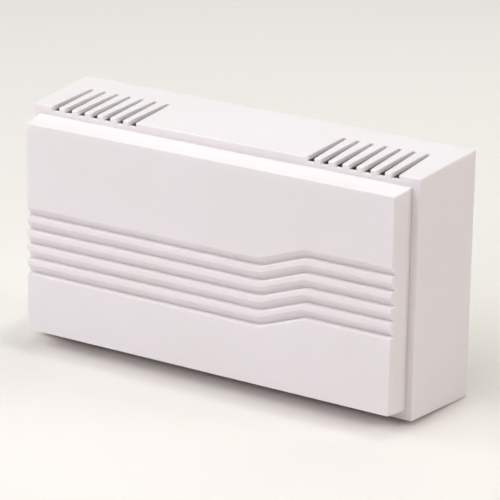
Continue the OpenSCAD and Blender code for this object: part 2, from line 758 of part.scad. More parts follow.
module winding(z) color("#b5692e")
    sleeve(z, winding_d, tube_d + 2 * push_fit, coil_l / 2 - flange_t - push_fit);

module tape(z) color("#d8b24a")
    sleeve(z, winding_d + 2 * (push_fit + tape_t), winding_d + 2 * push_fit, tape_w / 2);

module yoke(z) color("#b9b6a4") {
    bends = [[-foot_end_x, foot_y], [-arm_x, foot_y], [-arm_x, web_y], [arm_x, web_y], [arm_x, foot_y],
        [foot_end_x, foot_y]];
    difference() {
        translate([0, 0, z - yoke_w / 2]) linear_extrude(yoke_w)
            polygon(strip_outline(strip_path(bends, yoke_bend + yoke_t / 2), yoke_t));
        on_line(z) rod_x(core_d + 2 * yoke_hole_fit, -arm_out_x - past, arm_out_x + past);
        for (s = sides)
            translate([s * foot_screw_x, 0, z])
                rod_y(screw_d + 2 * seat_fit, foot_front_y - past, foot_seat_y + past);
    }
}

// A slotted screw along Y, with the underside of its head at y = 0
module screw(d, l, head_d, head_h) rotate([-90, 0, 0])
    difference() {
        union() {
            translate([0, 0, -head_h]) cylinder(d1 = head_d * head_taper, d2 = head_d, h = head_h / 2);
            translate([0, 0, -head_h / 2]) cylinder(d = head_d, h = head_h / 2);
            translate([0, 0, -head_h / 4]) cylinder(d = d, h = l + head_h / 4);
        }
        translate([-head_d, -drive_w / 2, -head_h - past]) cube([2 * head_d, drive_w, past + drive_depth]);
    }

module base_screws(places) color("#bfc2c6")
    for (p = places) translate(p) screw(screw_d, screw_l, screw_head_d, screw_head_h);

// Plungers
module core(z) color("#9fa3a8") {
    r = core_d / 2;
    neck = [clip_x - push_fit, clip_x + clip_t + push_fit];
    on_line(z) difference() {
        turned_x([[0, core_x0], [r - core_chamfer, core_x0], [r, core_x0 + core_chamfer], [r, neck[0]],
            [r - clip_groove, neck[0]], [r - clip_groove, neck[1]], [r, neck[1]], [r, core_x1 - core_chamfer],
            [r - core_chamfer, core_x1], [0, core_x1]]);
        rod_x(spigot_d + 2 * push_fit, core_x0 - past, core_x0 + spigot_l + seat_fit);
        rod_x(spigot_d + 2 * push_fit, core_x1 - spigot_l - seat_fit, core_x1 + past);
    }
}

// A nylon rod with a spigot in a core's end: way is the side that it points to
module striker(z, core_end, tip, way) color("#f1efe2") {
    r = rod_d / 2;
    on_line(z) turned_x(concat(
        [[0, core_end - way * spigot_l], [spigot_d / 2, core_end - way * spigot_l], [spigot_d / 2, core_end],
            [r, core_end]], dome(r, tip, way)));
}

module rear_tail() color("#f1efe2") {
    neck = tail_x + button_t;
    on_line(-coil_z) turned_x([[0, core_x0 + spigot_l], [spigot_d / 2, core_x0 + spigot_l],
        [spigot_d / 2, core_x0], [rod_d / 2, core_x0], [rod_d / 2, neck], [button_d / 2, neck],
        [button_d / 2, tail_x], [0, tail_x]]);
}

// A washer with an open throat, pushed onto a core's groove from below
module spring_clip(z) color("#8d9196") {
    throat = core_d - 2 * clip_groove + 2 * push_fit;
    on_line(z) difference() {
        rod_x(clip_d, clip_x, clip_x + clip_t);
        rod_x(throat, clip_x - past, clip_x + clip_t + past);
        block([clip_x - past, -throat / 2 + seat_fit, -clip_d],
            [clip_x + clip_t + past, throat / 2 - seat_fit, 0]);
    }
}

module spring(z) color("#a9adb3")
    on_line(z) loft([for (i = [0:spring_last]) let (a = spring_angle(i))
        ring(spring_line[i], spring_heading(a), round_x(1, a), spring_wire / 2, spring_sides)]);

module return_felt() color("#5f6f5a") on_line(-coil_z) rod_x(felt_d, post_x, felt_x);

// Terminals
module terminal_block() color("#ded7c4") {
    half_h = block_h / 2;
    difference() {
        translate([0, 0, block_z]) {
            block([-block_w / 2, block_y, -half_h], [block_w / 2, plate_y, half_h]);
            for (i = [-1.5:1:1.5])
                translate([i * terminal_pitch, 0, 0])
                    block([-barrier_t / 2, block_y - barrier_h, -half_h],
                        [barrier_t / 2, block_y + past, half_h]);
            for (s = sides)
                mirrored_to(s) block([block_w / 2 - past, ear_front_y, -half_h],
                    [block_w / 2 + ear_l, ear_seat_y, half_h]);
        }
        for (p = ear_screws)
            translate([p.x, 0, p.z]) rod_y(screw_d + 2 * seat_fit, ear_front_y - past, ear_seat_y + past);
        at_terminals()
            rod_y(terminal_screw_d + 2 * push_fit, block_y - past, clamp_y + terminal_screw_l + seat_fit);
    }
}

module terminal_plates() color("#c9a24b")
    at_terminals() difference() {
        along_y(terminal_y, block_y) {
            square([terminal_w, block_h - 2 * seat_fit], center = true);
            translate([-tail_w / 2, 0]) square([tail_w, block_h / 2 + tail_h]);
        }
        rod_y(terminal_screw_d + 2 * push_fit, terminal_y - past, block_y + past);
    }

module terminal_clamps() color("#c9a24b")
    at_terminals() difference() {
        along_y(clamp_y, clamp_y + clamp_t) polygon(rounded_rect(clamp_w, clamp_w, clamp_t));
        rod_y(terminal_screw_d + 2 * push_fit, clamp_y - past, clamp_y + clamp_t + past);
    }

module terminal_screws() color("#c9a24b")
    at_terminals() translate([0, clamp_y - push_fit, 0])
        screw(terminal_screw_d, terminal_screw_l, terminal_head_d, terminal_head_h);

module leads(routes, shade) color(shade) for (route = routes) wire(route, lead_d, lead_sides);

cover();
base_plate();
tone_bar(-1);  // left_tone_bar
tone_bar(1);  // right_tone_bar
grommets(-1);  // left_grommets
grommets(1);  // right_grommets
hanger_pins();
pin_clips();
bobbin(coil_z);  // front_bobbin
bobbin(-coil_z);  // rear_bobbin
winding(coil_z);  // front_winding
winding(-coil_z);  // rear_winding
tape(coil_z);  // front_tape
tape(-coil_z);  // rear_tape
yoke(coil_z);  // front_yoke
yoke(-coil_z);  // rear_yoke
base_screws(foot_screws);  // chassis_screws
base_screws(ear_screws);  // block_screws
core(coil_z);  // front_core
core(-coil_z);  // rear_core
striker(coil_z, core_x0, low_tip_x, -1);  // front_low_striker
striker(coil_z, core_x1, high_tip_x, 1);  // front_high_striker
striker(-coil_z, core_x1, high_tip_x, 1);  // rear_high_striker
rear_tail();
spring_clip(coil_z);  // front_spring_clip
spring_clip(-coil_z);  // rear_spring_clip
spring(coil_z);  // front_spring
spring(-coil_z);  // rear_spring
return_felt();
terminal_block();
terminal_plates();
terminal_clamps();
terminal_screws();
leads([front_low_route, front_common_route], "#b23a34");  // front_leads
leads([rear_low_route, rear_common_route], "#3f7d4e");  // rear_leads
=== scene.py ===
"""Looks of a wired two-note door chime: a white moulded cover over a striker mechanism.

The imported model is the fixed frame. Its nodes get procedural finishes, and the wound and soft pieces
(springs, windings, tape, lead wires, felt) are modelled afresh where their nodes lie.
Lengths are in metres, in the part's own frame: X right, Y into the wall, Z up.
"""

import logging
import math
from dataclasses import dataclass, field
from enum import Enum

import bpy
from bpy.types import Material, NodeSocket, NodeTree, Object, ShaderNode
from mathutils import Matrix, Vector
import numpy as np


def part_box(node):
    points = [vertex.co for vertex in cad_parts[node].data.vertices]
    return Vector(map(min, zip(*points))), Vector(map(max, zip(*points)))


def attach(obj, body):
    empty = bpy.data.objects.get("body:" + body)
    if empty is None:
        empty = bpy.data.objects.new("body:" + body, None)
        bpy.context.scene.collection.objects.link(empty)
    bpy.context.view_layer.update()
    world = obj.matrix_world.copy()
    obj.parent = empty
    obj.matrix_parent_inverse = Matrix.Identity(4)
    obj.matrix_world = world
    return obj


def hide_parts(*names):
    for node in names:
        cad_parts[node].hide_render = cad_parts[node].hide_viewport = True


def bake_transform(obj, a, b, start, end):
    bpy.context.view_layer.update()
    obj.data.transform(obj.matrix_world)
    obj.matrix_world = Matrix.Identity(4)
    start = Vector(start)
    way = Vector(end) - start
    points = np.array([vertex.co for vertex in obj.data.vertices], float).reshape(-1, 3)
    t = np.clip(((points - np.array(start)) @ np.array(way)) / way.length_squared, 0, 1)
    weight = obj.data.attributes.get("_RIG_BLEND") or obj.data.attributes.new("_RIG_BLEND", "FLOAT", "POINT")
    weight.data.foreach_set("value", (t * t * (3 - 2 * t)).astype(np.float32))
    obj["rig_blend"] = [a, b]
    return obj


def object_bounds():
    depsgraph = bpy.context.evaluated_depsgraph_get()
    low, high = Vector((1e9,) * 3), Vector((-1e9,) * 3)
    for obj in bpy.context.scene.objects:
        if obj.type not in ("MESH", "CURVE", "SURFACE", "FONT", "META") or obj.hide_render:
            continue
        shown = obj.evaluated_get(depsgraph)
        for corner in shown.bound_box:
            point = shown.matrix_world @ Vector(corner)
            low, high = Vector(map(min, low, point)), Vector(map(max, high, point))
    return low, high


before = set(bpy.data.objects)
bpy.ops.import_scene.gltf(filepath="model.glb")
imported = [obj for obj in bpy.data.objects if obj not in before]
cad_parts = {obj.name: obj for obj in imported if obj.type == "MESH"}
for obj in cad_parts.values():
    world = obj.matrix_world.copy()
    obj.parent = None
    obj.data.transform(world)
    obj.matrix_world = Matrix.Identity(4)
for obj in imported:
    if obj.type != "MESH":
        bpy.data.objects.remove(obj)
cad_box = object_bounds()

MM = 0.001
TAU = 2 * math.pi
# Points closer than this are one point
WELD = MM / 1000
# Edges that turn by less than this look round
SMOOTH_ANGLE = math.radians(35)
Route = list[tuple[float, float, float]]
log = logging.getLogger("chime")


class Body(str, Enum):
    """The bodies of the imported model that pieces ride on."""

    BASE = "base"
    FRONT_PLUNGER = "front_plunger"
    REAR_PLUNGER = "rear_plunger"


class Door(str, Enum):
    """The two doors that ring: each has a coil, a plunger, a spring and leads of its own."""

    FRONT = "front"
    REAR = "rear"

    @property
    def plunger(self) -> Body:
        """The body that this door's coil pulls."""
        return Body.FRONT_PLUNGER if self is Door.FRONT else Body.REAR_PLUNGER

    def node(self, piece: str) -> str:
        """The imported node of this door's piece."""
        return f"{self.value}_{piece}"


class Axis(Enum):
    """The direction that a finish's lines run along."""

    X = "x"
    Y = "y"
    Z = "z"


# Colours and nodes


def linear(shade: str) -> tuple[float, float, float, float]:
    """Turns an sRGB hex colour to linear light.

    Args:
        shade: Six hex digits after a hash.

    Returns:
        Red, green, blue and an alpha of one.
    """
    parts = [int(shade[i:i + 2], 16) / 255 for i in (1, 3, 5)]
    return (*(c / 12.92 if c <= 0.04045 else ((c + 0.055) / 1.055) ** 2.4 for c in parts), 1.0)


def add_node(tree: NodeTree, kind: str, inputs: dict[str | int, object] | None = None,
             **settings: object) -> ShaderNode:
    """Adds a node with its settings, values and links.

    Args:
        tree: The material's or world's tree.
        kind: The node's type name.
        inputs: What goes into its sockets, by name or number: a socket is linked, a value is set.
        settings: The node's own settings.

    Returns:
        The new node.
    """
    node = tree.nodes.new(kind)
    for name, value in settings.items():
        setattr(node, name, value)
    for key, value in (inputs or {}).items():
        if isinstance(value, NodeSocket):
            tree.links.new(value, node.inputs[key])
        else:
            node.inputs[key].default_value = value
    return node


# Finishes

# Most of a noise lies between these values
NOISE_SPAN = (0.3, 0.7)
# A wave pattern turns this many radians in a unit of length at a scale of one
WAVE_RATE = 20
# The colour sockets of a mix, which share their names with its other sockets
MIX_SHARE, MIX_FIRST, MIX_SECOND, MIX_SHADE = 0, 6, 7, 2
EVEN = (1.0, 1.0, 1.0)


def drawn_out(along: Axis, ratio: float) -> tuple[float, ...]:
    """How far a pattern's marks are drawn out along each axis, where they run along one.

    Args:
        along: The axis that they run along.
        ratio: How many times longer than wide they are.

    Returns:
        A factor each for X, Y and Z.
    """
    return tuple(ratio if axis is along else 1.0 for axis in Axis)


@dataclass(frozen=True)
class Skin:
    """A material in the making: its tree, its object coordinates and its shader."""

    tree: NodeTree
    place: NodeSocket
    shader: ShaderNode

    def feed(self, name: str, socket: NodeSocket) -> None:
        """Links a socket to the shader's input of that name."""
        self.tree.links.new(socket, self.shader.inputs[name])

    def hold(self, values: dict[str, float | tuple[float, ...]]) -> None:
        """Sets the shader's own inputs of those names."""
        for name, value in values.items():
            self.shader.inputs[name].default_value = value

    def mottle(self, shades: tuple[str, str], size: float, detail: float = 2.0,
               stretch: tuple[float, ...] = EVEN) -> None:
        """Colours the surface in two shades that come and go in patches.

        Args:
            shades: Both colours.
            size: Width of a patch.
            detail: Octaves of finer patches.
            stretch: How far a patch is drawn out along each axis.
        """
        placed = add_node(self.tree, "ShaderNodeMapping", {
            "Vector": self.place, "Scale": [1 / s for s in stretch]})
        clouds = add_node(self.tree, "ShaderNodeTexNoise", {
            "Vector": placed.outputs["Vector"], "Scale": 1 / size, "Detail": detail})
        share = add_node(self.tree, "ShaderNodeMapRange", {
            "Value": clouds.outputs["Fac"], "From Min": NOISE_SPAN[0], "From Max": NOISE_SPAN[1]})
        shade = add_node(self.tree, "ShaderNodeMix", {
            MIX_SHARE: share.outputs["Result"], MIX_FIRST: linear(shades[0]), MIX_SECOND: linear(shades[1])},
            data_type="RGBA")
        self.feed("Base Color", shade.outputs[MIX_SHADE])

    def relief(self, size: float, depth: float, strength: float, gloss: float = 0.0,
               detail: float = 2.0, stretch: tuple[float, ...] = EVEN) -> None:
        """Raises a fine relief that also breaks up the gloss.

        Args:
            size: Width of a mark.
            depth: Height of the relief.
            strength: How much of it shows.
            gloss: How far the roughness swings to each side, if it does.
            detail: Octaves of finer marks.
            stretch: How far a mark is drawn out along each axis.
        """
        placed = add_node(self.tree, "ShaderNodeMapping", {
            "Vector": self.place, "Scale": [1 / s for s in stretch]})
        marks = add_node(self.tree, "ShaderNodeTexNoise", {
            "Vector": placed.outputs["Vector"], "Scale": 1 / size, "Detail": detail})
        bump = add_node(self.tree, "ShaderNodeBump", {
            "Height": marks.outputs["Fac"], "Distance": depth, "Strength": strength})
        self.feed("Normal", bump.outputs["Normal"])
        if gloss:
            middle_gloss = self.shader.inputs["Roughness"].default_value
            swing = add_node(self.tree, "ShaderNodeMapRange", {
                "Value": marks.outputs["Fac"], "From Min": NOISE_SPAN[0], "From Max": NOISE_SPAN[1],
                "To Min": middle_gloss - gloss, "To Max": middle_gloss + gloss})
            self.feed("Roughness", swing.outputs["Result"])


@dataclass(frozen=True)
class Finish:
    """A surface: its colour, how rough and how metallic it is, and what the eye sees on it."""

    name: str
    shade: str
    roughness: float
    metallic: float = 0.0
    ior: float = 1.5

    def material(self) -> Material:
        """Makes the finish's material at its first use.

        Returns:
            The material, which all pieces in this finish share.
        """
        made = bpy.data.materials.get(self.name)
        if made is None:
            made = bpy.data.materials.new(self.name)
            made.use_nodes = True
            tree = made.node_tree
            tree.nodes.clear()
            shader = add_node(tree, "ShaderNodeBsdfPrincipled", {
                "Base Color": linear(self.shade), "Roughness": self.roughness,
                "Metallic": self.metallic, "IOR": self.ior})
            add_node(tree, "ShaderNodeOutputMaterial", {"Surface": shader.outputs["BSDF"]})
            place = add_node(tree, "ShaderNodeTexCoord").outputs["Object"]
            self.surface(Skin(tree, place, shader))
        return made

    def surface(self, skin: Skin) -> None:
        """Adds what the eye sees to the plain shader.

        Args:
            skin: The material in the making.
        """


@dataclass(frozen=True)
class MouldedPlastic(Finish):
    """Moulded ABS, urea or nylon: a satin skin with the mould's spark grain and faint flow patches.

    The grain is drawn coarser than it is, to show.
    """

    flow_shade: str = "#f0edee"
    flow: float = 45 * MM
    grain: float = 0.5 * MM
    grain_depth: float = 0.012 * MM
    grain_strength: float = 0.35
    gloss: float = 0.05
    glow: float = 0.0
    glow_depth: float = 1.5 * MM
    glow_reach: tuple[float, float, float] = (1.0, 0.94, 0.9)

    def surface(self, skin: Skin) -> None:
        """Patches and grain, over light that goes a little way in and makes thin walls and slots paler.

        Args:
            skin: The material in the making.
        """
        skin.mottle((self.shade, self.flow_shade), self.flow)
        skin.relief(self.grain, self.grain_depth, self.grain_strength, self.gloss, detail=3)
        skin.hold({"Subsurface Weight": self.glow, "Subsurface Scale": self.glow_depth,
                   "Subsurface Radius": self.glow_reach})


@dataclass(frozen=True)
class LinedMetal(Finish):
    """Rolled, drawn or stamped metal: fine lines along the way that it was worked, and dull clouds.

    The lines are drawn coarser than they are, to show.
    """

    metallic: float = 1.0
    cloud_shade: str = "#b9bcc0"
    cloud: float = 9 * MM
    along: Axis = Axis.Z
    line: float = 0.25 * MM
    line_ratio: float = 30.0
    line_depth: float = 0.01 * MM
    line_strength: float = 0.5
    gloss: float = 0.08

    def surface(self, skin: Skin) -> None:
        """Clouds of a second shade, and lines that streak the gloss.

        Args:
            skin: The material in the making.
        """
        skin.mottle((self.shade, self.cloud_shade), self.cloud, detail=4)
        skin.relief(self.line, self.line_depth, self.line_strength, self.gloss,
                    stretch=drawn_out(self.along, self.line_ratio))


@dataclass(frozen=True)
class TurnedMetal(LinedMetal):
    """Bar turned on a lathe: rings about the X direction, as the tool's feed leaves them.

    The rings are drawn coarser than they are, to show.
    """

    feed: float = 0.4 * MM
    feed_strength: float = 0.4
    feed_wander: float = 0.6

    def surface(self, skin: Skin) -> None:
        """The clouds, with the feed's rings for relief.

        Args:
            skin: The material in the making.
        """
        super().surface(skin)
        rings = add_node(skin.tree, "ShaderNodeTexWave", {
            "Vector": skin.place, "Scale": TAU / (WAVE_RATE * self.feed),
            "Distortion": self.feed_wander}, wave_type="BANDS", bands_direction="X")
        bump = add_node(skin.tree, "ShaderNodeBump", {
            "Height": rings.outputs["Fac"], "Distance": self.line_depth, "Strength": self.feed_strength})
        skin.feed("Normal", bump.outputs["Normal"])


@dataclass(frozen=True)
class Rubber(Finish):
    """Moulded rubber: near black and dull, with a pale bloom in patches."""

    bloom_shade: str = "#4a4a48"
    bloom: float = 2.5 * MM
    skin_grain: float = 0.3 * MM
    skin_depth: float = 0.02 * MM
    skin_strength: float = 0.4
    gloss: float = 0.05

    def surface(self, skin: Skin) -> None:
        """Bloom, and the dull grain of the mould.

        Args:
            skin: The material in the making.
        """
        skin.mottle((self.shade, self.bloom_shade), self.bloom, detail=5)
        skin.relief(self.skin_grain, self.skin_depth, self.skin_strength, self.gloss)


@dataclass(frozen=True)
class Enamelled(Finish):
    """Enamelled copper wire: warm metal under a thin clear coat, a little uneven from turn to turn."""

    metallic: float = 1.0
    dark_shade: str = "#8a3f17"
    turn: float = 0.8 * MM
    turn_ratio: float = 6.0
    coat: float = 0.7
    coat_roughness: float = 0.12

    def surface(self, skin: Skin) -> None:
        """Darker and lighter turns under a glossy coat.

        Args:
            skin: The material in the making.
        """
        skin.mottle((self.dark_shade, self.shade), self.turn, stretch=drawn_out(Axis.Y, self.turn_ratio))
        skin.hold({"Coat Weight": self.coat, "Coat Roughness": self.coat_roughness})


@dataclass(frozen=True)
class Film(Finish):
    """Polyester tape or vinyl insulation: smooth film, drawn tight, with faint creases across X."""

    crease_shade: str = "#c8952c"
    crease: float = 1.6 * MM
    crease_ratio: float = 0.25
    crease_depth: float = 0.05 * MM
    crease_strength: float = 0.5
    gloss: float = 0.075

    def surface(self, skin: Skin) -> None:
        """Creases that are a little darker, duller and raised.

        Args:
            skin: The material in the making.
        """
        across = drawn_out(Axis.X, self.crease_ratio)
        skin.mottle((self.shade, self.crease_shade), self.crease, stretch=across)
        skin.relief(self.crease, self.crease_depth, self.crease_strength, self.gloss, stretch=across)


@dataclass(frozen=True)
class Felt(Finish):
    """Pressed wool felt: matted fibres of two shades, with a soft sheen at glancing angles."""

    fibre_shade: str = "#8d9a86"
    fibre: float = 0.25 * MM
    fibre_ratio: float = 5.0
    fibre_depth: float = 0.15 * MM
    fibre_strength: float = 0.8
    sheen: float = 0.5

    def surface(self, skin: Skin) -> None:
        """Fibres that cross: one way as shade, the other as relief.

        Args:
            skin: The material in the making.
        """
        skin.mottle((self.shade, self.fibre_shade), self.fibre, detail=4,
                    stretch=drawn_out(Axis.Y, self.fibre_ratio))
        skin.relief(self.fibre, self.fibre_depth, self.fibre_strength, detail=4,
                    stretch=drawn_out(Axis.Z, self.fibre_ratio))
        skin.hold({"Sheen Weight": self.sheen})


@dataclass(frozen=True)
class Paper(Finish):
    """Seamless studio paper: matt, with the faintest tooth, and paler towards the back, where brighter light
    is painted into its colour.
    """

    # Painted light: the colour that the paper reaches at the back, paler as if more brightly lit
    painted_far_light: str = "#fdf9f3"
    far: float = 700 * MM
    tooth: float = 3 * MM
    tooth_depth: float = 0.05 * MM
    tooth_strength: float = 0.2

    def surface(self, skin: Skin) -> None:
        """A slow change of colour along Y that paints light, paler towards the back, and a tooth too shallow
        to see as more than dullness.

        Args:
            skin: The material in the making.
        """
        axes = add_node(skin.tree, "ShaderNodeSeparateXYZ", {"Vector": skin.place})
        # Painted light: the paper's colour pales towards the back
        share = add_node(skin.tree, "ShaderNodeMapRange", {
            "Value": axes.outputs["Y"], "From Max": self.far}, interpolation_type="SMOOTHSTEP")
        shade = add_node(skin.tree, "ShaderNodeMix", {
            MIX_SHARE: share.outputs["Result"], MIX_FIRST: linear(self.shade),
            MIX_SECOND: linear(self.painted_far_light)}, data_type="RGBA")
        skin.feed("Base Color", shade.outputs[MIX_SHADE])
        skin.relief(self.tooth, self.tooth_depth, self.tooth_strength)


# Satin white that carries a little light inside, so that its slots and thin walls stay soft
COVER_ABS = MouldedPlastic("moulded_white_abs", "#f2eced", 0.46, ior=1.53, flow_shade="#f0eae9",
                           glow=0.5, glow_depth=2.5 * MM)
# Warmer and duller than the cover, as on a part that isn't meant to be seen
BASE_ABS = MouldedPlastic("moulded_ivory_abs", "#e6e1d6", 0.5, ior=1.53, flow_shade="#e2dccf")
# Hard and glossier, in the cream of older switches
BLOCK_UREA = MouldedPlastic("moulded_cream_urea", "#d9cfb6", 0.34, ior=1.6, flow_shade="#cfc3a6")
# Waxy: light goes a little way into the thin rods and flanges
NATURAL_NYLON = MouldedPlastic("natural_nylon", "#ece7d6", 0.38, ior=1.53, flow_shade="#e6dfc9",
                               glow=0.25)
# Bright and cool, with long streaks up the bar
BAR_STEEL = LinedMetal("rolled_nickelled_steel", "#cfd1d3", 0.27)
# Straw yellow with grey clouds, as the plating bath leaves it
YOKE_STEEL = LinedMetal("yellow_passivated_steel", "#c9b98a", 0.36, along=Axis.X, cloud_shade="#b3ac9b")
# Grey, with rings that catch the light
CORE_STEEL = TurnedMetal("turned_steel", "#b4b7bb", 0.3, cloud_shade="#9da1a6")
# Grey wire with a narrow highlight
WIRE_STEEL = LinedMetal("drawn_spring_steel", "#b9bdc2", 0.26, along=Axis.Y, cloud_shade="#9a9fa5")
# Bluish white plating
SCREW_STEEL = LinedMetal("zinc_plated_steel", "#c6c9cd", 0.32, along=Axis.X, cloud_shade="#aeb2b8")
# Warm yellow, browner in patches where air has dulled it
BRASS = LinedMetal("stamped_brass", "#cfae5d", 0.3, along=Axis.X, cloud_shade="#b08b3d")
# Grey-white drops with a soft shine
SOLDER = LinedMetal("tinned_solder", "#c4c6c8", 0.24, along=Axis.X, cloud_shade="#a9abad")
# Red-brown turns with a glassy highlight
WINDING_WIRE = Enamelled("enamelled_copper", "#b4622b", 0.3)
# Near black, with no clear highlight
GROMMET_RUBBER = Rubber("black_rubber", "#232324", 0.77)
# Amber film that shines along the coil
COIL_TAPE = Film("amber_polyester_film", "#d9ad45", 0.295)
# Grey-green and dull, with fibres at its edge
STOP_FELT = Felt("pressed_wool_felt", "#64705e", 0.95)
# Waxy colours that tell the doors' wires apart
INSULATION = {
    Door.FRONT: Film("red_pvc_insulation", "#a5342f", 0.435, crease_shade="#94302b"),
    Door.REAR: Film("green_pvc_insulation", "#3c7348", 0.435, crease_shade="#346640"),
}
# Matt and warm, so that the white part stands out by its shadows
FLOOR_PAPER = Paper("warm_white_paper", "#ede9e3", 0.9)


# Modelling by hand


def deselect() -> None:
    """Leaves every object unselected, in object mode."""
    if bpy.context.object and bpy.context.object.mode != "OBJECT":
        bpy.ops.object.mode_set(mode="OBJECT")
    bpy.ops.object.select_all(action="DESELECT")


def settle(piece: Object, name: str, finish: Finish) -> Object:
    """Names a finished piece, puts its place into its mesh and dresses it.

    Args:
        piece: The object, which is the only one selected.
        name: Its name.
        finish: What it is dressed in.

    Returns:
        The same object.
    """
    bpy.ops.object.transform_apply(location=True, rotation=True, scale=True)
    piece.name = name
    piece.data.name = name
    piece.data.materials.clear()
    piece.data.materials.append(finish.material())
    bpy.ops.object.shade_smooth_by_angle(angle=SMOOTH_ANGLE)
    return piece


def mount(piece: Object, body: Body, slot: str | None, *nodes: str) -> Object:
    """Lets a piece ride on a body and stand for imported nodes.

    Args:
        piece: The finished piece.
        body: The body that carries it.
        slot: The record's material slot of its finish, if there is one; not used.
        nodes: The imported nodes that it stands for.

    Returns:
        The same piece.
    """
    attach(piece, body.value)
    if nodes:
        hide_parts(*nodes)
    log.info("%s on %s, %d faces", piece.name, body.value, len(piece.data.polygons))
    return piece


def dress(finish: Finish, *nodes: str) -> None:
    """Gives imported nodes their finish.

    Args:
        finish: The finish.
        nodes: The nodes' names.
    """
    for node in nodes:
        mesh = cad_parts[node].data
        mesh.materials.clear()
        mesh.materials.append(finish.material())
        log.info("%s in %s", node, finish.name)


def middle(node: str) -> Vector:
    """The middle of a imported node's box."""
    low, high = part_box(node)
    return (low + high) / 2


def helix(start: Vector, radius: float, wire: float, pitch: float, turns: int, steps: int,
          sides: int) -> Object:
    """Winds round wire about a line along X, from its start towards -X.

    Args:
        start: Where the line begins.
        radius: Distance of the wire's middle from the line.
        wire: Diameter of the wire.
        pitch: Advance in a turn.
        turns: Number of turns.
        steps: Sections in a turn.
        sides: Sides of the wire.

    Returns:
        The closed tube, selected and active.
    """
    deselect()
    bpy.ops.mesh.primitive_circle_add(vertices=sides, radius=wire / 2, location=start)
    coil = bpy.context.object
    bpy.ops.object.mode_set(mode="EDIT")
    bpy.ops.mesh.select_all(action="SELECT")
    bpy.ops.transform.translate(value=(0, radius, 0))
    bpy.ops.object.mode_set(mode="OBJECT")
    screw = coil.modifiers.new("turns", "SCREW")
    screw.axis = "X"
    screw.angle = TAU
    screw.screw_offset = -pitch
    screw.iterations = turns
    screw.steps = steps
    screw.render_steps = steps
    bpy.ops.object.modifier_apply(modifier=screw.name)
    bpy.ops.object.mode_set(mode="EDIT")
    bpy.ops.mesh.select_all(action="SELECT")
    bpy.ops.mesh.remove_doubles(threshold=WELD)
    bpy.ops.mesh.fill_holes(sides=sides)
    bpy.ops.mesh.normals_make_consistent(inside=False)
    bpy.ops.object.mode_set(mode="OBJECT")
    return coil


def smooth_route(points: Route, steps: int) -> list[Vector]:
    """Runs a smooth line, a Catmull-Rom spline, through a route's points.

    Args:
        points: The route, in millimetres.
        steps: Points on the line for each stretch of the route.

    Returns:
        The line's points.
    """
    route = [Vector(p) * MM for p in points]
    line = []
    for i in range(len(route) - 1):
        a, b, c, d = route[max(i - 1, 0)], route[i], route[i + 1], route[min(i + 2, len(route) - 1)]
        for k in range(steps):
            t = k / steps
            line.append((2 * b + (c - a) * t + (2 * a - 5 * b + 4 * c - d) * t ** 2
                         + (3 * b - a - 3 * c + d) * t ** 3) / 2)
    return [*line, route[-1]]


def tube(line: list[Vector], diameter: float, rings: int) -> Object:
    """Makes a round tube along a line of points.

    Args:
        line: The tube's middle line.
        diameter: Its thickness.
        rings: Half of the faces round a section, less one.

    Returns:
        The capped tube as a mesh, selected and active.
    """
    deselect()
    curve = bpy.data.curves.new("tube", "CURVE")
    curve.dimensions = "3D"
    curve.bevel_depth = diameter / 2
    curve.bevel_resolution = rings
    curve.use_fill_caps = True
    spline = curve.splines.new("POLY")
    spline.points.add(len(line) - 1)
    for point, place in zip(spline.points, line):
        point.co = (*place, 1)
    made = bpy.data.objects.new("tube", curve)
    bpy.context.scene.collection.objects.link(made)
    bpy.context.view_layer.objects.active = made
    made.select_set(True)
    bpy.ops.object.convert(target="MESH")
    return bpy.context.object


# Sub-assemblies


@dataclass
class Shell:
    """The cover and the base that it pulls off."""

    cover: str = "cover"
    plate: str = "base_plate"

    def build(self) -> None:
        """Dresses both mouldings."""
        dress(COVER_ABS, self.cover)
        dress(BASE_ABS, self.plate)


@dataclass
class ToneBars:
    """The two bars with the grommets, pins and clips that they hang on."""

    def build(self) -> None:
        """Dresses each piece."""
        dress(BAR_STEEL, "left_tone_bar", "right_tone_bar")
        dress(GROMMET_RUBBER, "left_grommets", "right_grommets")
        dress(NATURAL_NYLON, "hanger_pins")
        dress(WIRE_STEEL, "pin_clips")


